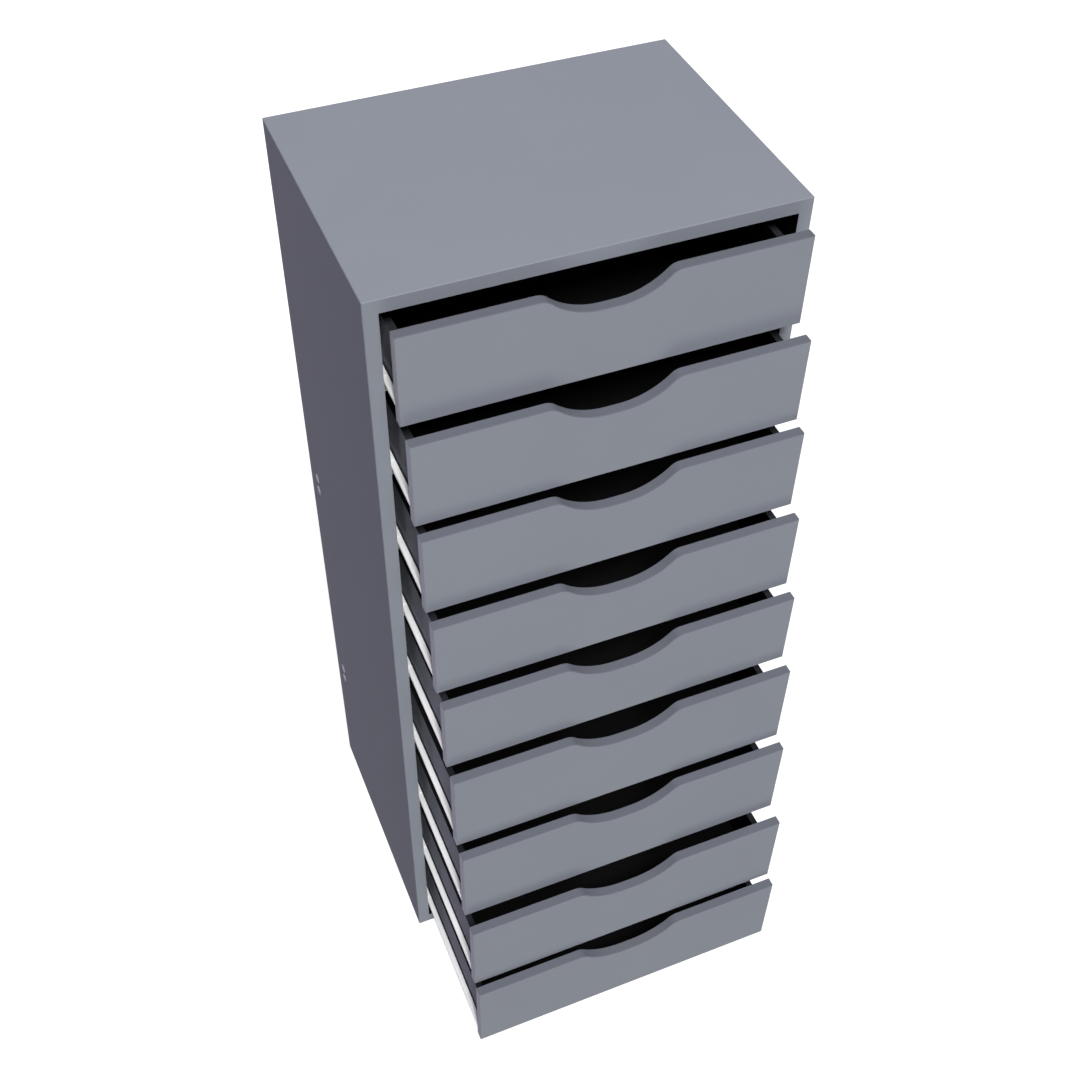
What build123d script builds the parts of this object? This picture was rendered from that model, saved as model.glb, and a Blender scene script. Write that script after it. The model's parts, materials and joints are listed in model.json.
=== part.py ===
from build123d import *
import os
from math import atan, degrees, sin

# Tall chest of nine drawers in lacquered fibreboard, drawn with its drawers pulled out in steps.
# Each drawer has two runners of white coated steel, which slide on nylon blocks in steel channels.
# Sizes are in millimetres. X points right as seen from the front, Y to the back and Z up.
# The origin is on the floor, under the middle of the carcase.

# Carcase
cabinet_width = 360.0
cabinet_depth = 261.0
cabinet_height = 864.0
panel_board = 12.0
back_board = 3.0
back_recess = 18.0
groove_depth = 4.0
seat_slack = 0.1
edge_ease = 0.6

# Rails that tie the sides together behind the drawers, and the caps over their screws
rail_height = 40.0
upper_rail_level = 475.5
lower_rail_level = 176.0
screw_spacing = 16.0
cap_radius = 5.0
cap_height = 1.4
cap_ease = 0.6

# Hidden dowels in the corners of the carcase
dowel_radius = 3.0
dowel_length = 24.0
dowel_inset = 30.0
face_bore_depth = 8.0
dowel_slack = 0.05

# Drawer fronts, flush between the sides when shut, each with a wave cut in its top edge
shallow_count = 5
deep_count = 4
shallow_front_height = 82.6
front_board = 9.0
front_gap = 3.4
end_gap = 1.5
side_gap = 1.5
wave_width = 114.0
wave_depth = 19.8
wave_flat = 12.0
wave_lip_radius = 12.7

# Drawer boxes
box_board = 6.0
box_bottom_board = 3.0
box_low_level = 3.5
box_top_level = 64.0
box_bottom_inset = 5.0
box_groove = 3.0
front_groove = 4.0
rail_clearance = 1.0

# How far each drawer stands out, from the top one down, and how far it can slide
drawer_openings = [28.6, 48.0, 62.1, 78.1, 94.1, 110.6, 125.8, 146.0, 158.4]
full_travel = 172.0

# Runners: a bent steel strip on the drawer, a steel channel on the carcase, nylon blocks on both
runner_space = 8.0
steel = 1.0
bend_radius = 1.5
flange_level = 18.0
flange_lip = 3.0
ledge_width = 5.0
channel_floor = 4.0
channel_width = 6.0
channel_setback = 2.0
running_gap = 0.3
rear_block_length = 12.0
block_setback = 1.0
stop_gap = 0.5

# Places worked out from the sizes above
front_plane = -cabinet_depth / 2
rear_plane = cabinet_depth / 2
inner_half = cabinet_width / 2 - panel_board
side_middle = inner_half + panel_board / 2
bottom_middle = panel_board / 2
side_top = cabinet_height - panel_board
opening_height = side_top - panel_board
back_middle = rear_plane - back_recess - back_board / 2
rail_rear = back_middle - back_board / 2
rail_middle = rail_rear - panel_board / 2
rail_front = rail_rear - panel_board
groove_width = back_board + 2 * seat_slack
rail_levels = [upper_rail_level, lower_rail_level]
screw_shifts = [-screw_spacing / 2, screw_spacing / 2]
cap_levels = [level + shift for level in rail_levels for shift in screw_shifts]
dowel_spots = [front_plane + dowel_inset, rail_rear - dowel_inset]
deep_bore_depth = dowel_length - face_bore_depth + seat_slack

drawer_count = shallow_count + deep_count
gaps_total = 2 * end_gap + (drawer_count - 1) * front_gap
deep_total = opening_height - gaps_total - shallow_count * shallow_front_height
deep_front_height = deep_total / deep_count
front_heights = shallow_count * [shallow_front_height] + deep_count * [deep_front_height]
front_half = inner_half - side_gap
front_lows = []
next_top = side_top - end_gap
for front_height in front_heights:
    front_lows.append(next_top - front_height)
    next_top = front_lows[-1] - front_gap

wave_run = (wave_width - wave_flat) / 2
wave_turn = 2 * atan(wave_depth / wave_run)
wave_bowl_radius = wave_run / sin(wave_turn) - wave_lip_radius

box_half = inner_half - runner_space
box_length = rail_front - rail_clearance - front_plane - front_board
box_bottom_level = box_low_level + box_bottom_inset
bottom_slot = box_bottom_board + seat_slack
flange_reach = runner_space - steel - running_gap
channel_roof = flange_level + running_gap
channel_front = front_plane + front_board + channel_setback
channel_rear = rail_front - rail_clearance
channel_length = channel_rear - channel_front
bend_inside = bend_radius - steel / 2
block_width = flange_reach - 2 * steel - running_gap
block_top = flange_level - steel - running_gap
block_shoulder = flange_level - flange_lip - running_gap
front_block_rear = channel_rear - rear_block_length - full_travel - stop_gap
front_block_front = channel_front + block_setback

# Working planes on the carcase
left_face = Plane(origin=(-cabinet_width / 2, 0, 0), x_dir=(0, -1, 0), z_dir=(-1, 0, 0))
left_end = Plane(origin=(-inner_half, 0, 0), x_dir=(0, -1, 0), z_dir=(-1, 0, 0))
left_inside = Plane.YZ.offset(-inner_half)
right_end = Plane.YZ.offset(inner_half)
under_top = Plane(origin=(0, 0, side_top), x_dir=(1, 0, 0), z_dir=(0, 0, -1))
both_sides = (-1, 1)


def keep(piece, name):
    """Name a finished piece and write it to its own file."""
    piece.part.label = name
    export_step(piece.part, f"parts/{name}.step")


os.makedirs("parts", exist_ok=True)

# Side panels: grooved for the back board and bored for the corner dowels
with BuildPart() as left_side:
    with BuildSketch(Plane.YZ.offset(-cabinet_width / 2)):
        Rectangle(cabinet_depth, side_top, align=(Align.CENTER, Align.MIN))
    extrude(amount=panel_board)
    outer_corners = left_side.edges().filter_by(Axis.Z).group_by(Axis.X)[0]
    chamfer(outer_corners, length=edge_ease)
    with BuildSketch(left_inside):
        with Locations((back_middle, 0)):
            Rectangle(groove_width, side_top, align=(Align.CENTER, Align.MIN))
    extrude(amount=-groove_depth, mode=Mode.SUBTRACT)
    with Locations(*[(-side_middle, spot, side_top) for spot in dowel_spots]):
        Hole(dowel_radius + dowel_slack, depth=deep_bore_depth)
    with Locations(left_inside):
        with Locations(*[(spot, bottom_middle) for spot in dowel_spots]):
            Hole(dowel_radius + dowel_slack, depth=face_bore_depth + seat_slack)
keep(left_side, "left_side_panel")

with BuildPart() as right_side:
    mirror(left_side.part, about=Plane.YZ)
keep(right_side, "right_side_panel")

# Top panel: lies on the sides, with its visible edges eased
with BuildPart() as top:
    with BuildSketch(Plane.XY.offset(side_top)):
        Rectangle(cabinet_width, cabinet_depth)
    extrude(amount=panel_board)
    rim = top.faces().sort_by(Axis.Z)[-1].edges() + top.edges().filter_by(Axis.Z)
    chamfer(rim, length=edge_ease)
    with BuildSketch(Plane.XY.offset(side_top)):
        with Locations((0, back_middle)):
            Rectangle(2 * (inner_half + groove_depth), groove_width)
    extrude(amount=groove_depth, mode=Mode.SUBTRACT)
    with Locations(under_top):
        with Locations(*[(x * side_middle, -spot) for x in both_sides for spot in dowel_spots]):
            Hole(dowel_radius + dowel_slack, depth=face_bore_depth + seat_slack)
keep(top, "top_panel")

# Bottom panel: held between the sides, level with their lower edges
with BuildPart() as bottom:
    with BuildSketch():
        Rectangle(2 * inner_half, cabinet_depth)
    extrude(amount=panel_board)
    with BuildSketch(Plane.XY.offset(panel_board)):
        with Locations((0, back_middle)):
            Rectangle(2 * inner_half, groove_width)
    extrude(amount=-groove_depth, mode=Mode.SUBTRACT)
    for end, turn in ((left_end, -1), (right_end, 1)):
        with Locations(end):
            with Locations(*[(turn * spot, bottom_middle) for spot in dowel_spots]):
                Hole(dowel_radius + dowel_slack, depth=deep_bore_depth)
keep(bottom, "bottom_panel")

# Back board: a thin sheet let into grooves in all four panels
with BuildPart() as back:
    with BuildSketch(Plane.XZ.offset(-back_middle)):
        with Locations((0, panel_board + opening_height / 2)):
            sheet_margin = groove_depth - seat_slack
            Rectangle(2 * (inner_half + sheet_margin), opening_height + 2 * sheet_margin)
    extrude(amount=back_board / 2, both=True)
keep(back, "back_panel")

# Back rails: fixed between the sides, in front of the back board
for rail_name, rail_level in zip(("upper_back_rail", "lower_back_rail"), rail_levels):
    with BuildPart() as rail:
        with BuildSketch(Plane.XZ.offset(-rail_middle)):
            with Locations((0, rail_level)):
                Rectangle(2 * inner_half, rail_height)
        extrude(amount=panel_board / 2, both=True)
    keep(rail, rail_name)

# Cover caps over the rail screws, on the outside of the side panels
with BuildPart() as caps:
    with BuildSketch(left_face):
        with Locations(*[(-rail_middle, level) for level in cap_levels]):
            Circle(cap_radius)
    extrude(amount=cap_height)
    chamfer(caps.faces().group_by(Axis.X)[0].edges(), length=cap_ease)
    mirror(about=Plane.YZ)
keep(caps, "screw_caps")

# Dowels in the four corners, standing at the top and lying at the bottom
with BuildPart() as dowels:
    with BuildSketch(Plane.XY.offset(side_top + face_bore_depth)):
        with Locations(*[(-side_middle, spot) for spot in dowel_spots]):
            Circle(dowel_radius)
    extrude(amount=-dowel_length)
    with BuildSketch(Plane.YZ.offset(-inner_half - face_bore_depth)):
        with Locations(*[(spot, bottom_middle) for spot in dowel_spots]):
            Circle(dowel_radius)
    extrude(amount=dowel_length)
    mirror(about=Plane.YZ)
keep(dowels, "corner_dowels")

# Section of a carcase channel, drawn outwards from the drawer side, from the front's lower edge up
channel_mouth = runner_space - channel_width
channel_back = runner_space - steel / 2
with BuildSketch() as channel_section:
    with BuildLine():
        Polyline(
            (channel_mouth, channel_floor - steel / 2),
            (channel_back, channel_floor - steel / 2),
            (channel_back, channel_roof + steel / 2),
            (channel_mouth, channel_roof + steel / 2),
        )
    trace(line_width=steel)

# Section of a drawer runner: a ledge under the drawer side, a leg beside it, a flange and its lip
ledge_middle = box_low_level - steel / 2
flange_middle = flange_level - steel / 2
with BuildSketch() as runner_section:
    with BuildLine():
        Line((-ledge_width, ledge_middle), (steel / 2, ledge_middle))
        FilletPolyline(
            (steel / 2, ledge_middle),
            (steel / 2, flange_middle),
            (flange_reach - steel / 2, flange_middle),
            (flange_reach - steel / 2, flange_level - flange_lip),
            radius=bend_radius,
        )
    trace(line_width=steel)

# Carcase channels, one pair for each drawer
with BuildPart() as channels:
    with BuildSketch(Plane.XZ.offset(-channel_rear)):
        with Locations(*[(box_half, low) for low in front_lows]):
            add(channel_section.sketch)
    extrude(amount=channel_length)
    mirror(about=Plane.YZ)
keep(channels, "cabinet_channels")

# Section of a channel block: a foot that fills the channel and a ridge that runs inside the lip
block_inside = 2 * steel
block_outside = runner_space - steel
ridge_outside = block_inside + block_width - steel
with BuildSketch() as block_section:
    with BuildLine():
        Polyline(
            (block_inside, channel_floor),
            (block_outside, channel_floor),
            (block_outside, block_shoulder),
            (ridge_outside, block_shoulder),
            (ridge_outside, block_top),
            (block_inside, block_top),
            close=True,
        )
    make_face()

# Nylon blocks at the mouths of the channels, which carry the flanges and stop the drawers
with BuildPart() as channel_blocks:
    with BuildSketch(Plane.XZ.offset(-front_block_rear)):
        with Locations(*[(box_half, low) for low in front_lows]):
            add(block_section.sketch)
    extrude(amount=front_block_rear - front_block_front)
    mirror(about=Plane.YZ)
keep(channel_blocks, "channel_blocks")

# Drawers
for index in range(drawer_count):
    name = f"drawer_{index + 1}"
    low = front_lows[index]
    height = front_heights[index]
    front_face = front_plane - drawer_openings[index]
    front_back = front_face + front_board
    box_rear = front_back + box_length
    box_low = low + box_low_level
    box_top = low + box_top_level
    sheet_low = low + box_bottom_level

    # Front with the wave in its top edge, grooved behind for the sides and the bottom sheet
    with BuildPart() as front:
        with BuildSketch(Plane.XZ.offset(-front_back)):
            with BuildLine():
                top_level = low + height
                lip_end = (wave_width / 2, top_level)
                Polyline((0, low), (front_half, low), (front_half, top_level), lip_end)
                lip_centre = (wave_width / 2, top_level - wave_lip_radius)
                CenterArc(lip_centre, wave_lip_radius, 90, degrees(wave_turn))
                bowl_centre = (wave_flat / 2, top_level - wave_depth + wave_bowl_radius)
                CenterArc(bowl_centre, wave_bowl_radius, 270, degrees(wave_turn))
                Line((wave_flat / 2, top_level - wave_depth), (0, top_level - wave_depth))
                mirror(about=Plane.YZ)
            make_face()
        extrude(amount=front_board)
        chamfer(front.faces().sort_by(Axis.Y)[0].edges(), length=edge_ease)
        with BuildSketch(Plane.XZ.offset(-front_back)):
            with Locations((-box_half, box_low), (box_half - box_board, box_low)):
                Rectangle(box_board, box_top - box_low, align=(Align.MIN, Align.MIN))
            with Locations((0, sheet_low)):
                sheet_half = box_half - box_board + box_groove
                Rectangle(2 * sheet_half, bottom_slot, align=(Align.CENTER, Align.MIN))
        extrude(amount=front_groove, mode=Mode.SUBTRACT)
    keep(front, f"{name}_front")

    # Box: two sides with a slot for the bottom sheet, and a back that stands on the sheet
    with BuildPart() as box:
        with BuildSketch(Plane.YZ.offset(box_half - box_board)):
            with Locations((front_back - front_groove, box_low)):
                Rectangle(box_length + front_groove, box_top - box_low, align=(Align.MIN, Align.MIN))
        extrude(amount=box_board)
        with BuildSketch(Plane.YZ.offset(box_half - box_board)):
            with Locations((front_back - front_groove, sheet_low)):
                Rectangle(box_length + front_groove, bottom_slot, align=(Align.MIN, Align.MIN))
        extrude(amount=box_groove, mode=Mode.SUBTRACT)
        mirror(about=Plane.YZ)
        with BuildSketch(Plane.XZ.offset(-box_rear)):
            with Locations((0, sheet_low + bottom_slot)):
                back_width = 2 * (box_half - box_board - seat_slack)
                back_height = box_top - sheet_low - bottom_slot
                Rectangle(back_width, back_height, align=(Align.CENTER, Align.MIN))
        extrude(amount=box_board)
    keep(box, f"{name}_box")

    # Bottom sheet, slid into the slots from behind
    with BuildPart() as sheet:
        with BuildSketch(Plane.XY.offset(sheet_low)):
            with Locations((0, front_back - front_groove + seat_slack)):
                sheet_width = 2 * (box_half - box_board + box_groove - seat_slack)
                sheet_length = box_length + front_groove - seat_slack
                Rectangle(sheet_width, sheet_length, align=(Align.CENTER, Align.MIN))
        extrude(amount=box_bottom_board)
    keep(sheet, f"{name}_bottom")

    # Runners under and beside the drawer sides
    with BuildPart() as runners:
        with BuildSketch(Plane.XZ.offset(-box_rear)):
            with Locations((box_half, low)):
                add(runner_section.sketch)
        extrude(amount=box_length)
        mirror(about=Plane.YZ)
    keep(runners, f"{name}_runners")

    # Nylon blocks under the rear ends of the flanges
    with BuildPart() as blocks:
        with BuildSketch(Plane.XZ.offset(-box_rear)):
            with Locations((box_half + steel, low + channel_floor + running_gap)):
                block_height = flange_level - steel - channel_floor - running_gap
                Rectangle(block_width, block_height, align=(Align.MIN, Align.MIN))
        extrude(amount=rear_block_length)
        chamfer(blocks.faces().sort_by(Axis.Z)[-1].edges().filter_by(Axis.Y), length=bend_inside)
        mirror(about=Plane.YZ)
    keep(blocks, f"{name}_blocks")
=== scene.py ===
# %% [markdown]
# # A drawer cabinet in lacquered board
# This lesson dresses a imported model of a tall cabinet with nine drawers.
# The model's own pieces already have the right shapes and sizes, so most of them stay as they are.
# We give each one a finish built from nodes, add the small fasteners, and set up a plain studio.

import json
from math import pi, radians

import bpy
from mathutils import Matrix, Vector

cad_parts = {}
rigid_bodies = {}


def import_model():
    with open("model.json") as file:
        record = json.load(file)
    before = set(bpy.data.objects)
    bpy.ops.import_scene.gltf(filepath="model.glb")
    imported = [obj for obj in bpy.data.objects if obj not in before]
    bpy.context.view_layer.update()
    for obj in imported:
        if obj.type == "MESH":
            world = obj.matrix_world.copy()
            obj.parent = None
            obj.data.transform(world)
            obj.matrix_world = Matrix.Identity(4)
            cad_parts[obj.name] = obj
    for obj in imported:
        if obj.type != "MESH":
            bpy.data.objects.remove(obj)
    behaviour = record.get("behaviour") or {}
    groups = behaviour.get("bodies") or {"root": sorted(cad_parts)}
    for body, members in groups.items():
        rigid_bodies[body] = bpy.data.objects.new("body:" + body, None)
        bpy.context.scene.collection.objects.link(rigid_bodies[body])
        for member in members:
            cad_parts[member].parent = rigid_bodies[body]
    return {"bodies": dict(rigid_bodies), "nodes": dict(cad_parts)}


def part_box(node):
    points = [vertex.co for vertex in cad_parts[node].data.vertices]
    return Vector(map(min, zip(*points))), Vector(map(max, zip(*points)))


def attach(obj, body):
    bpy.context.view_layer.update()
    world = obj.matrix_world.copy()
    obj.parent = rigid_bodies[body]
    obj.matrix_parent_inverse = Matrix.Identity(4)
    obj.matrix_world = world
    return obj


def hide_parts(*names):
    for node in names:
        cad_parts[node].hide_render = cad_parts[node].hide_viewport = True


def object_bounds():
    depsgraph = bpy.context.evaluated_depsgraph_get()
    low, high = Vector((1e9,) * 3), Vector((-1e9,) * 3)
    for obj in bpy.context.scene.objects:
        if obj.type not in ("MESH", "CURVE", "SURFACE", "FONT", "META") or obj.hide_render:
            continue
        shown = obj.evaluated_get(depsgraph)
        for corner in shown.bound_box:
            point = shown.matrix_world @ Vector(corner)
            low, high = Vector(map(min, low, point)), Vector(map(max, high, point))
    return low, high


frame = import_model()
cad_low, cad_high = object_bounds()
drawer_names = [body for body in frame["bodies"] if body != "cabinet"]
print("pieces:", len(frame["nodes"]), "drawers:", len(drawer_names))

# %% [markdown]
# ## Units, colours and nodes
# The model is in metres, but furniture is easier to think about in millimetres.
# Colours are given as hex values, which are sRGB. Blender's shaders want linear light,
# so one function does that change. A second one adds a node, sets it up and links it in one go.

# %% Units, colours and nodes
MM = 0.001


def linear(hex_colour):
    """Turn an sRGB hex colour into the linear RGBA that shaders use."""
    channels = [int(hex_colour[i : i + 2], 16) / 255 for i in (1, 3, 5)]
    return [c / 12.92 if c <= 0.04045 else ((c + 0.055) / 1.055) ** 2.4 for c in channels] + [1]


def add(tree, kind, inputs=None, **settings):
    """Add a node, set its properties, and fill or link its inputs."""
    made = tree.nodes.new(kind)
    for name, value in settings.items():
        setattr(made, name, value)
    for socket, value in (inputs or {}).items():
        if isinstance(value, bpy.types.NodeSocket):
            tree.links.new(value, made.inputs[socket])
        else:
            made.inputs[socket].default_value = value
    return made


print("white is", linear("#FFFFFF"))

# %% [markdown]
# ## What all the finishes share
# Each finish starts from Blender's principled shader and the piece's own coordinates. No real
# surface has one flat colour, so each drifts between two close tones, in a noise whose size is
# a real one in millimetres. A finish is then put on pieces by their names.

# %% Start a finish, tone it, and put it on
def new_finish(name):
    """Start a material: its tree, its shader and the piece's own coordinates in metres."""
    material = bpy.data.materials.new(name)
    material.use_nodes = True
    tree = material.node_tree
    shader = tree.nodes["Principled BSDF"]
    place = add(tree, "ShaderNodeTexCoord").outputs["Object"]
    return material, tree, shader, place


def two_tones(tree, place, size, detail, hexes):
    """Drift between two colours in a noise of this size. Returns the noise and the colour."""
    noise = add(
        tree, "ShaderNodeTexNoise", {"Vector": place, "Scale": 1 / size, "Detail": detail}
    ).outputs["Fac"]
    first, second = (linear(tone) for tone in hexes)
    colour = add(
        tree, "ShaderNodeMix", {"Factor": noise, "A": first, "B": second}, data_type="RGBA"
    ).outputs["Result"]
    return noise, colour


def dress(material, names):
    """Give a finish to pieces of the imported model."""
    for name in names:
        frame["nodes"][name].data.materials[0] = material


def in_each_drawer(kind):
    """The names of one kind of piece in all the drawers."""
    return [f"{drawer}_{kind}" for drawer in drawer_names]


print("for example:", in_each_drawer("front")[0])

# %% [markdown]
# ## The lacquered board
# The carcase and the drawer fronts are medium-density fibreboard, sprayed with a matt polyurethane
# lacquer in a cool grey. Sprayed lacquer is never quite flat: it dries with a faint ripple, called
# orange peel, about two millimetres from crest to crest, and its tone drifts a little over a panel.
# One noise drives each of these, at its own size. The matt coat has hardly any mirror in it, so
# the specular level is low and the roughness high.

# %% The lacquer
drift_size = 90 * MM
speck_size = 0.9 * MM
peel_size = 2.2 * MM
peel_depth = 0.05 * MM


def lacquer(name):
    """A matt grey lacquer. Returns what a second layer needs too: tree, shader, place, colour."""
    material, tree, shader, place = new_finish(name)
    _, colour = two_tones(tree, place, drift_size, 3, ("#898D98", "#8D919B"))
    speck = add(tree, "ShaderNodeTexNoise", {"Vector": place, "Scale": 1 / speck_size, "Detail": 2})
    dull = add(
        tree, "ShaderNodeMapRange", {"Value": speck.outputs["Fac"], "To Min": 0.68, "To Max": 0.78}
    )
    peel = add(tree, "ShaderNodeTexNoise", {"Vector": place, "Scale": 1 / peel_size, "Detail": 1})
    bump = add(
        tree,
        "ShaderNodeBump",
        {"Height": peel.outputs["Fac"], "Strength": 0.08, "Distance": peel_depth},
    )
    tree.links.new(colour, shader.inputs["Base Color"])
    tree.links.new(dull.outputs["Result"], shader.inputs["Roughness"])
    tree.links.new(bump.outputs["Normal"], shader.inputs["Normal"])
    shader.inputs["IOR"].default_value = 1.5
    shader.inputs["Specular IOR Level"].default_value = 0.025
    return material, tree, shader, place, colour


print("lacquer ripple, mm:", peel_size / MM)

# %% [markdown]
# ## The fronts' edges, with painted light and shade
# The routed wave and the top edge of a front face up, and are painted darker than the face: painted
# shade.
# The two ends are painted a little paler than the face: painted light.
# Which way a face points tells the three apart.

# %% Finish the drawer fronts
def facing(tree):
    """Which way each face points: its X, Y and Z, from -1 to 1."""
    normal = add(tree, "ShaderNodeNewGeometry").outputs["Normal"]
    return add(tree, "ShaderNodeSeparateXYZ", {"Vector": normal}).outputs


front_board, tree, shader, _, colour = lacquer("lacquered_front_painted_edge_light_and_shade")
way = facing(tree)
sideways = add(tree, "ShaderNodeMath", {0: way["X"]}, operation="ABSOLUTE").outputs["Value"]
on_top = add(tree, "ShaderNodeMapRange", {"Value": way["Z"], "From Min": 0.4, "From Max": 0.6})
on_end = add(tree, "ShaderNodeMapRange", {"Value": sideways, "From Min": 0.85, "From Max": 0.95})
# Painted shade on what faces up, painted light on the two ends.
for painted_edge_mask, painted_edge_tone in ((on_top, "#6A6D76"), (on_end, "#CACDDA")):
    colour = add(
        tree,
        "ShaderNodeMix",
        {"Factor": painted_edge_mask.outputs["Result"], "A": colour, "B": linear(painted_edge_tone)},
        data_type="RGBA",
    ).outputs["Result"]
tree.links.new(colour, shader.inputs["Base Color"])
dress(front_board, in_each_drawer("front"))
print("fronts finished:", len(drawer_names))

# %% [markdown]
# ## Painted shade inside
# The inside of the carcase and of the drawers is painted near black, as painted shade, so the open
# drawers look deep and dark. A board's mesh is one piece, so its finish has to know where the
# inside is.
# We give it a box of space and paint the near black on every face that lies in that box.

# %% A lacquered board with painted shade inside
def board_with_painted_inside_shade(name, low, high):
    """Lacquered board, painted near black as painted shade on what lies between two corners of a
    box.
    """
    material, tree, shader, place, colour = lacquer(name)
    middle, half = (Vector(low) + Vector(high)) / 2, (Vector(high) - Vector(low)) / 2
    moved = add(tree, "ShaderNodeVectorMath", {0: place, 1: middle}, operation="SUBTRACT")
    share = add(tree, "ShaderNodeVectorMath", {0: moved.outputs[0], 1: half}, operation="DIVIDE")
    share = add(tree, "ShaderNodeVectorMath", {0: share.outputs[0]}, operation="ABSOLUTE")
    axes = add(tree, "ShaderNodeSeparateXYZ", {"Vector": share.outputs[0]}).outputs
    widest = add(tree, "ShaderNodeMath", {0: axes["X"], 1: axes["Y"]}, operation="MAXIMUM")
    widest = add(tree, "ShaderNodeMath", {0: widest.outputs[0], 1: axes["Z"]}, operation="MAXIMUM")
    inside = add(tree, "ShaderNodeMath", {0: widest.outputs[0], 1: 1.0}, operation="LESS_THAN")
    # Near-black tones: painted shade on the inside faces.
    _, painted_inside_shade = two_tones(tree, place, speck_size, 2, ("#08080A", "#0E0E10"))
    colour = add(
        tree,
        "ShaderNodeMix",
        {"Factor": inside.outputs[0], "A": colour, "B": painted_inside_shade},
        data_type="RGBA",
    ).outputs["Result"]
    tree.links.new(colour, shader.inputs["Base Color"])
    return material, tree, shader, colour


print("foil grain, mm:", speck_size / MM)

# %% [markdown]
# In the carcase the box of space reaches from the front edges to the back board and from side to
# side. It stops a hair behind the front edges, so that they keep their lacquer.

# %% Finish the carcase
hair = 0.3 * MM
side_low, side_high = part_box("left_side_panel")
rail_low, rail_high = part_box("upper_back_rail")
back_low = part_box("back_panel")[0]
base_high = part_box("bottom_panel")[1]
inside_low = (rail_low.x - hair, side_low.y + hair, base_high.z - hair)
inside_high = (rail_high.x + hair, back_low.y + hair, side_high.z + hair)
carcase_board = board_with_painted_inside_shade("lacquered_fibreboard_painted_shade_inside", inside_low, inside_high)[0]
panels = ["left_side_panel", "right_side_panel", "top_panel", "bottom_panel"]
rails = ["upper_back_rail", "lower_back_rail"]
dress(carcase_board, panels + rails)
print("carcase inside width, mm:", round((inside_high[0] - inside_low[0]) / MM, 1))

# %% [markdown]
# ## The drawer boxes
# The drawer sides are thinner board, lacquered on the outside and painted near black on the inside,
# the same painted shade.
# The same function does it: the box of space takes in everything but a hair at the
# outer faces. The top edge faces up and is painted dark grey: painted shade. The way
# a face points picks it out.

# %% Finish the drawer boxes
box_low, box_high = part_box(f"{drawer_names[0]}_box")
drawer_board, tree, shader, colour = board_with_painted_inside_shade(
    "lacquered_drawer_side_with_painted_shade",
    (box_low.x + hair, cad_low.y, cad_low.z),
    (box_high.x - hair, cad_high.y, cad_high.z),
)
# Painted shade: the faces that point up, the top edges, get a dark grey.
on_top = add(tree, "ShaderNodeMath", {0: facing(tree)["Z"], 1: 0.5}, operation="GREATER_THAN")
colour = add(
    tree,
    "ShaderNodeMix",
    {"Factor": on_top.outputs[0], "A": colour, "B": linear("#2B2C31")},
    data_type="RGBA",
)
tree.links.new(colour.outputs["Result"], shader.inputs["Base Color"])
dress(drawer_board, in_each_drawer("box"))
print("drawer outside width, mm:", round((box_high.x - box_low.x) / MM, 1))

# %% [markdown]
# ## Hardboard
# The drawer bottoms and the back of the cabinet are hardboard, three millimetres thick: wood fibres
# pressed into a dense sheet. It is painted near black as painted shade, on the drawer bottoms all
# over and on the back's inner face.
# The outer face of the back is painted a flat grey near the lacquer, and the pressed fibres still
# show through it.

# %% The hardboard
fibre_size = 1.6 * MM
fibre_depth = 0.1 * MM


def hardboard(name, outer_hexes=None):
    """Hardboard painted near black as painted shade. Where two greys are given, its rear face is
    painted with them.
    """
    material, tree, shader, place = new_finish(name)
    along = add(tree, "ShaderNodeMapping", {"Vector": place, "Scale": (1, 1, 0.35)})
    fibres = add(
        tree,
        "ShaderNodeTexNoise",
        {"Vector": along.outputs[0], "Scale": 1 / fibre_size, "Detail": 4, "Distortion": 0.6},
    ).outputs["Fac"]
    # Near black: painted shade.
    colour = add(
        tree,
        "ShaderNodeMix",
        {"Factor": fibres, "A": linear("#060607"), "B": linear("#0C0C0E")},
        data_type="RGBA",
    ).outputs["Result"]
    if outer_hexes:
        greys = add(
            tree,
            "ShaderNodeMix",
            {"Factor": fibres, "A": linear(outer_hexes[0]), "B": linear(outer_hexes[1])},
            data_type="RGBA",
        ).outputs["Result"]
        rear = add(tree, "ShaderNodeMath", {0: facing(tree)["Y"], 1: 0.5}, operation="GREATER_THAN")
        colour = add(
            tree,
            "ShaderNodeMix",
            {"Factor": rear.outputs[0], "A": colour, "B": greys},
            data_type="RGBA",
        ).outputs["Result"]
    bump = add(
        tree, "ShaderNodeBump", {"Height": fibres, "Strength": 0.15, "Distance": fibre_depth}
    )
    tree.links.new(colour, shader.inputs["Base Color"])
    tree.links.new(bump.outputs["Normal"], shader.inputs["Normal"])
    shader.inputs["Roughness"].default_value = 0.75
    shader.inputs["Specular IOR Level"].default_value = 0.1
    return material


dress(hardboard("hardboard_back_painted_shade_inside", ("#6E717A", "#777A83")), ["back_panel"])
dress(hardboard("hardboard_painted_shade_black"), in_each_drawer("bottom"))
print("hardboard fibres, mm:", fibre_size / MM)

# %% [markdown]
# ## Coated steel runners
# The runners and channels are thin sheet steel, bent and then powder-coated white. The powder melts
# into a smooth skin with a fine ripple and a soft gloss, and it hides the steel altogether.

# %% The white powder coat
ripple_size = 1.2 * MM
ripple_depth = 0.05 * MM
powder, tree, shader, place = new_finish("white_powder_coat")
ripple, whites = two_tones(tree, place, ripple_size, 2, ("#F4F4F4", "#F9F9F9"))
bump = add(
    tree, "ShaderNodeBump", {"Height": ripple, "Strength": 0.12, "Distance": ripple_depth}
)
tree.links.new(bump.outputs["Normal"], shader.inputs["Normal"])
shader.inputs["Roughness"].default_value = 0.36
shader.inputs["Specular IOR Level"].default_value = 0.5
dress(powder, ["cabinet_channels"] + in_each_drawer("runners"))
print("runners coated:", 2 * len(drawer_names))
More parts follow.
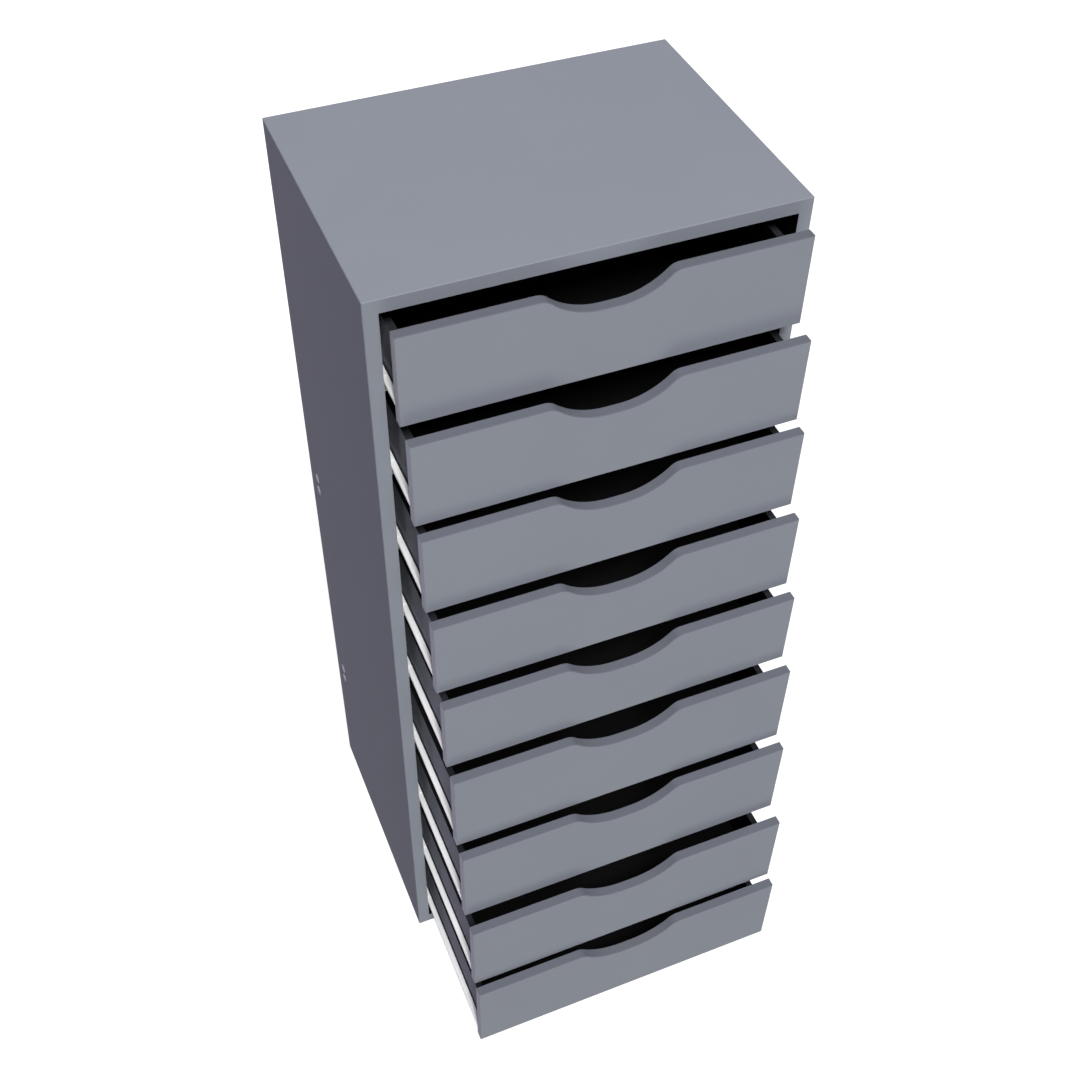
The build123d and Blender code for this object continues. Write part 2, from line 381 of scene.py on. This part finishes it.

# %% [markdown]
# Where a runner bends up against the drawer side there is a crease a millimetre or two wide.
# A dark line is painted along each white strip there: painted shade in the crease.
# The crease is at a known distance from the middle, and only what faces up is darkened.

# %% Painted shade in the crease
crease_edge = box_high.x + 1.9 * MM
crease_fade = 0.5 * MM
across = add(tree, "ShaderNodeSeparateXYZ", {"Vector": place}).outputs["X"]
across = add(tree, "ShaderNodeMath", {0: across}, operation="ABSOLUTE").outputs["Value"]
near = add(
    tree,
    "ShaderNodeMapRange",
    {
        "Value": across,
        "From Min": crease_edge - crease_fade,
        "From Max": crease_edge,
        "To Min": 1,
        "To Max": 0,
    },
).outputs["Result"]
upward = add(tree, "ShaderNodeMath", {0: facing(tree)["Z"], 1: 0.1}, operation="GREATER_THAN")
painted_crease_shade = add(tree, "ShaderNodeMath", {0: near, 1: upward.outputs["Value"]}, operation="MULTIPLY")
# Near black in the crease: painted shade.
coat = add(
    tree,
    "ShaderNodeMix",
    {"Factor": painted_crease_shade.outputs["Value"], "A": whites, "B": linear("#1B1B1D")},
    data_type="RGBA",
)
tree.links.new(coat.outputs["Result"], shader.inputs["Base Color"])
print("crease ends, mm from the middle:", round(crease_edge / MM, 1))

# %% [markdown]
# ## Nylon blocks
# The blocks that the runners glide on are injection-moulded nylon: off-white and a little cloudy,
# with a soft sheen.

# %% The nylon
cloud_size = 6 * MM
nylon, tree, shader, place = new_finish("moulded_nylon")
_, creams = two_tones(tree, place, cloud_size, 2, ("#D6D5CF", "#DFDED9"))
tree.links.new(creams, shader.inputs["Base Color"])
shader.inputs["Roughness"].default_value = 0.45
shader.inputs["IOR"].default_value = 1.53
dress(nylon, ["channel_blocks"] + in_each_drawer("blocks"))
print("block finish:", nylon.name)

# %% [markdown]
# ## Beech dowels
# Nobody sees the dowels once the carcase is glued, but they get their wood all the same:
# beech has short dark flecks along its grain.

# %% The beech
fleck_size = 1.5 * MM
beech, tree, shader, place = new_finish("turned_beech")
_, browns = two_tones(tree, place, fleck_size, 3, ("#C9A679", "#B58F60"))
tree.links.new(browns, shader.inputs["Base Color"])
shader.inputs["Roughness"].default_value = 0.6
dress(beech, ["corner_dowels"])
print("dowel finish:", beech.name)

# %% [markdown]
# ## Screw caps
# Small moulded caps cover the screws that hold the back rails. They are a matt plastic, a little
# paler than the lacquer, with the fine grain of the mould.

# %% The cap's plastic
mould_grain = 0.5 * MM
cap_plastic, tree, shader, place = new_finish("moulded_cap_plastic")
_, greys = two_tones(tree, place, mould_grain, 2, ("#A0A2AC", "#A9ABB5"))
tree.links.new(greys, shader.inputs["Base Color"])
shader.inputs["Roughness"].default_value = 0.7
shader.inputs["IOR"].default_value = 1.49
shader.inputs["Specular IOR Level"].default_value = 0.1
print("cap finish:", cap_plastic.name)

# %% [markdown]
# A real cap is a low dome with a thin flat rim. We start from a thin disc at its place, inset its
# outer face to leave the rim, and raise the middle in four steps, each narrower than the last.
# A small bevel softens the rim.

# %% One cap
def pick_left_face(piece):
    """Go into edit mode with only the faces that point left selected."""
    bpy.ops.object.mode_set(mode="EDIT")
    bpy.ops.mesh.select_mode(type="FACE")
    bpy.ops.mesh.select_all(action="DESELECT")
    bpy.ops.object.mode_set(mode="OBJECT")
    for face in piece.data.polygons:
        face.select = face.normal.x < -0.9
    bpy.ops.object.mode_set(mode="EDIT")


def raise_dome(steps, centre):
    """Raise the picked face in steps: how far, in mm, and what share of its width is left."""
    for rise, share in steps:
        bpy.ops.mesh.extrude_region_move(TRANSFORM_OT_translate={"value": (-rise * MM, 0, 0)})
        bpy.ops.transform.resize(value=(1, share, share), center_override=centre)
    bpy.ops.object.mode_set(mode="OBJECT")


cap_low, cap_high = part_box("screw_caps")
cap_radius = (cap_high.y - cap_low.y) / 2
rim_height = 0.6 * MM
rim_width = 0.7 * MM
first_cap = Vector((side_low.x, cap_low.y + cap_radius, cap_low.z + cap_radius))
bpy.ops.mesh.primitive_cylinder_add(
    vertices=40,
    radius=cap_radius,
    depth=rim_height,
    location=first_cap - Vector((rim_height / 2, 0, 0)),
    rotation=(0, -pi / 2, 0),
)
cap = bpy.context.object
cap.name = "screw_cap_domes"
bpy.ops.object.transform_apply(location=True, rotation=True, scale=True)
pick_left_face(cap)
bpy.ops.mesh.inset(thickness=rim_width)
raise_dome(((0.35, 0.88), (0.24, 0.76), (0.13, 0.6), (0.05, 0.4)), first_cap)
print("cap height, mm:", round(max(side_low.x - v.co.x for v in cap.data.vertices) / MM, 2))

# %% Soften its rim
soften = cap.modifiers.new("soft_rim", "BEVEL")
soften.width = 0.12 * MM
soften.segments = 2
soften.limit_method = "ANGLE"
soften.angle_limit = radians(50)
bpy.ops.object.modifier_apply(modifier=soften.name)
bpy.ops.object.shade_smooth_by_angle(angle=radians(40))
cap.data.materials.append(cap_plastic)
print("cap faces:", len(cap.data.polygons))

# %% [markdown]
# Two caps sit at each end of each rail, one above the other. The four on the left are copies of the
# first, and half a turn about the upright axis takes those four to the right side.

# %% Eight caps
def pick(pieces):
    """Select only these pieces, and make the first one active."""
    bpy.ops.object.select_all(action="DESELECT")
    for piece in pieces:
        piece.select_set(True)
    bpy.context.view_layer.objects.active = pieces[0]


def copy_of(pieces):
    """Copy pieces, each with a mesh of its own, and leave only the copies selected."""
    pick(pieces)
    bpy.ops.object.duplicate()
    return list(bpy.context.selected_objects)


def join_all(pieces):
    """Join pieces into the first one, with their places kept in its mesh."""
    pick(pieces)
    bpy.ops.object.join()
    bpy.ops.object.transform_apply(location=True, rotation=True, scale=True)


cap_spread = 16 * MM
lift_to_upper = cap_high.z - cap_low.z - 2 * cap_radius - cap_spread
left_caps = [cap]
for lift in (cap_spread, lift_to_upper, lift_to_upper + cap_spread):
    left_caps += copy_of([cap])
    bpy.ops.transform.translate(value=(0, 0, lift))
right_caps = copy_of(left_caps)
bpy.ops.transform.rotate(value=pi, orient_axis="Z", center_override=(0, first_cap.y, 0))
cap_count = len(left_caps + right_caps)
join_all(left_caps + right_caps)
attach(cap, "cabinet")
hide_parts("screw_caps")
print("caps:", cap_count)

# %% [markdown]
# ## Runner screws
# Three small countersunk screws hold each runner to its drawer side. They are zinc-plated: a thin,
# bright metal coat with a soft sheen.

# %% The zinc plating
zinc_cloud = 0.8 * MM
zinc, tree, shader, place = new_finish("bright_zinc_plating")
cloud, zincs = two_tones(tree, place, zinc_cloud, 3, ("#B4B7BA", "#C3C6C9"))
sheen = add(tree, "ShaderNodeMapRange", {"Value": cloud, "To Min": 0.28, "To Max": 0.42})
tree.links.new(zincs, shader.inputs["Base Color"])
tree.links.new(sheen.outputs["Result"], shader.inputs["Roughness"])
shader.inputs["Metallic"].default_value = 1.0
print("screw finish:", zinc.name)

# %% [markdown]
# The head lies almost flush, because the nylon block of the channel passes one millimetre away.
# We turn a head from a thin disc, crown it like the caps, and cut the cross slot with two crossed
# bars and a boolean.

# %% One screw head
leg_thickness = 1 * MM
head_radius = 2.6 * MM
head_thickness = 0.3 * MM
head_from_front = 25 * MM
head_lift = 7.2 * MM
leg_face = box_low.x - leg_thickness
runner_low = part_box(f"{drawer_names[0]}_runners")[0]
first_head = Vector((leg_face, runner_low.y + head_from_front, runner_low.z + head_lift))
bpy.ops.mesh.primitive_cylinder_add(
    vertices=24,
    radius=head_radius,
    depth=head_thickness,
    location=first_head,
    rotation=(0, -pi / 2, 0),
)
head = bpy.context.object
bpy.ops.object.transform_apply(location=True, rotation=True, scale=True)
pick_left_face(head)
raise_dome(((0.1, 0.86), (0.06, 0.7)), first_head)
print("screw head width, mm:", round(2 * head_radius / MM, 1))

# %% The cross slot
slot_length = 2.6 * MM
slot_width = 0.6 * MM
slot_depth = 0.5 * MM
slot_middle = first_head - Vector((slot_depth / 2, 0, 0))
for along_y, along_z in ((slot_length, slot_width), (slot_width, slot_length)):
    bpy.ops.mesh.primitive_cube_add(size=1, location=slot_middle)
    bar = bpy.context.object
    bpy.ops.transform.resize(value=(slot_depth, along_y, along_z))
    cut = head.modifiers.new("cross_slot", "BOOLEAN")
    cut.operation = "DIFFERENCE"
    cut.object = bar
    pick([head])
    bpy.ops.object.modifier_apply(modifier=cut.name)
    pick([bar])
    bpy.ops.object.delete()
pick([head])
bpy.ops.object.shade_smooth_by_angle(angle=radians(30))
head.data.materials.append(zinc)
print("screw head faces:", len(head.data.polygons))

# %% [markdown]
# Each drawer gets six heads, three to a side. They become one piece per drawer, so that they
# travel with it.

# %% Six heads for each drawer
head_pitch = 84 * MM
for drawer in drawer_names:
    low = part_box(f"{drawer}_runners")[0]
    out, down = low.y - runner_low.y, low.z - runner_low.z
    left_heads = []
    for step in range(3):
        left_heads += copy_of([head])
        bpy.ops.transform.translate(value=(0, out + step * head_pitch, down))
    right_heads = copy_of(left_heads)
    middle_y = first_head.y + out + head_pitch
    bpy.ops.transform.rotate(value=pi, orient_axis="Z", center_override=(0, middle_y, 0))
    join_all(left_heads + right_heads)
    left_heads[0].name = f"{drawer}_runner_screws"
    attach(left_heads[0], drawer)
pick([head])
bpy.ops.object.delete()
print("runner screws:", 6 * len(drawer_names))

# %% [markdown]
# ## The studio
# The floor is a wide sheet of white acrylic, as on a shooting table, and a lamp below can shine up
# through it. Seen straight by the camera, or in a reflection, it glows almost white and still
# keeps the cabinet's soft shadow. Further away it glows a little more, so that its far edge melts
# into the white background. For all other light it is an ordinary floor, and from below
# it is clear, so that the underside can be looked at.

# %% The floor
floor_width = 16
bpy.ops.mesh.primitive_plane_add(size=floor_width, location=(0, 0, -hair))
studio_floor = bpy.context.object
studio_floor.name = "studio_floor"
studio_floor.visible_shadow = False
print("floor, m:", tuple(studio_floor.dimensions))

# %% The acrylic
near_glow, far_glow = 0.86, 1.0
near_distance, far_distance = 0.5, 2.5
plain_grey = (0.15, 0.15, 0.15, 1)
shadow_grey = (0.3, 0.3, 0.3, 1)


def seen_straight(tree):
    """1 for rays from the camera, from a reflection or through glass, and 0 for other light."""
    rays = add(tree, "ShaderNodeLightPath").outputs
    seen = rays["Is Camera Ray"]
    for kind in ("Is Glossy Ray", "Is Transmission Ray"):
        seen = add(tree, "ShaderNodeMath", {0: seen, 1: rays[kind]}, operation="MAXIMUM").outputs[0]
    return seen


acrylic = bpy.data.materials.new("white_acrylic_sheet")
acrylic.use_nodes = True
tree = acrylic.node_tree
tree.nodes.clear()
place = add(tree, "ShaderNodeTexCoord").outputs["Object"]
away = add(tree, "ShaderNodeVectorMath", {0: place}, operation="LENGTH").outputs["Value"]
level = add(
    tree,
    "ShaderNodeMapRange",
    {
        "Value": away,
        "From Min": near_distance,
        "From Max": far_distance,
        "To Min": near_glow,
        "To Max": far_glow,
    },
)
glow = add(tree, "ShaderNodeEmission", {"Strength": level.outputs["Result"]})
shadow = add(tree, "ShaderNodeBsdfDiffuse", {"Color": shadow_grey})
bright = add(tree, "ShaderNodeAddShader", {0: shadow.outputs[0], 1: glow.outputs[0]})
plain = add(tree, "ShaderNodeBsdfDiffuse", {"Color": plain_grey})
above = add(
    tree,
    "ShaderNodeMixShader",
    {0: seen_straight(tree), 1: plain.outputs[0], 2: bright.outputs[0]},
)
clear = add(tree, "ShaderNodeBsdfTransparent")
below = add(tree, "ShaderNodeNewGeometry").outputs["Backfacing"]
sheet = add(tree, "ShaderNodeMixShader", {0: below, 1: above.outputs[0], 2: clear.outputs[0]})
add(tree, "ShaderNodeOutputMaterial", {"Surface": sheet.outputs[0]})
studio_floor.data.materials.append(acrylic)
print("floor glow:", near_glow, "to", far_glow)

# %% [markdown]
# The world is white where the camera or a reflection looks straight at it, so the background is
# white. For all other light it is almost dark, so that the soft boxes alone shape the cabinet.

# %% The world
fill_light = 0.005
world = bpy.data.worlds.new("studio_world")
bpy.context.scene.world = world
world.use_nodes = True
tree = world.node_tree
tree.nodes.clear()
strength = add(
    tree,
    "ShaderNodeMapRange",
    {"Value": seen_straight(tree), "To Min": fill_light, "To Max": 1.0},
).outputs["Result"]
sky = add(tree, "ShaderNodeBackground", {"Color": linear("#FFFFFF"), "Strength": strength})
add(tree, "ShaderNodeOutputWorld", {"Surface": sky.outputs[0]})
print("fill light:", fill_light)

# %% [markdown]
# ## Lights
# The photograph is lit evenly. Its top is brightest, its fronts a little darker and its left side
# darker still, so the main soft box hangs high, in front and a little to the left. It is narrow,
# so it shines into the gaps beside the drawers and only grazes the drawers' sides. A weaker one
# under the acrylic lifts the fronts from below. Each drawer stands further out than the one above
# it and shades the lower edge of that one's front, which gives the soft dark line along it.
# Three more fill the left side, the right side and the back. The left one stands far back, so that
# the carcase shades the drawers' sides close to it, as in the photograph. It has a lavender gel,
# because the left side looks a little more purple there than the fronts do.
# The low one has a very pale yellow gel, which takes a little blue out of the fronts.

# %% The soft boxes
cabinet_middle = Vector((0, -0.15, 0.45))


def soft_box(name, way, distance, width, height, level, gel="#FFFFFF"):
    """A lamp that gives a white card that faces it this brightness, where 1 is white."""
    way = Vector(way).normalized()
    bpy.ops.object.light_add(type="AREA", location=cabinet_middle + distance * way)
    lamp = bpy.context.object
    lamp.name = name
    lamp.data.shape = "RECTANGLE"
    lamp.data.size = width
    lamp.data.size_y = height
    lamp.data.energy = pi**2 * distance**2 * level
    lamp.data.color = linear(gel)[:3]
    lamp.visible_camera = False
    lamp.rotation_euler = way.to_track_quat("Z", "Y").to_euler()


# Name, the way to it from the cabinet, distance, width and height in metres, and brightness.
soft_box("main_soft_box", (-0.09, -0.55, 0.83), 10, 1.8, 3.4, 1.19)
soft_box("low_soft_box", (-0.1, -0.76, -0.64), 6, 2.4, 2.4, 0.29, gel="#FFFFF0")
soft_box("left_fill_soft_box", (-0.5, 0.86, 0.05), 8, 2.4, 2.4, 0.29, gel="#F0DBFF")
soft_box("right_fill_soft_box", (0.9, 0.4, 0.1), 5, 2, 2, 0.45)
soft_box("back_fill_soft_box", (0.1, 0.98, 0.1), 5, 2, 2, 0.5)

# %% [markdown]
# ## The camera
# The photograph looks down on the cabinet from the front left, from about a metre and a half
# up. The lens and the place were worked out from the cabinet's corners in the picture.

# %% The camera
bpy.ops.object.camera_add(
    location=(-383.1 * MM, -926.9 * MM, 1489.2 * MM),
    rotation=(radians(43.358), radians(-0.730), radians(-22.428)),
)
camera = bpy.context.object
camera.name = "photo_camera"
camera.data.sensor_width = 36
camera.data.lens = 48.78
bpy.context.scene.camera = camera
bpy.context.scene.view_settings.view_transform = "Standard"
print("camera height, mm:", round(camera.location.z / MM, 1))
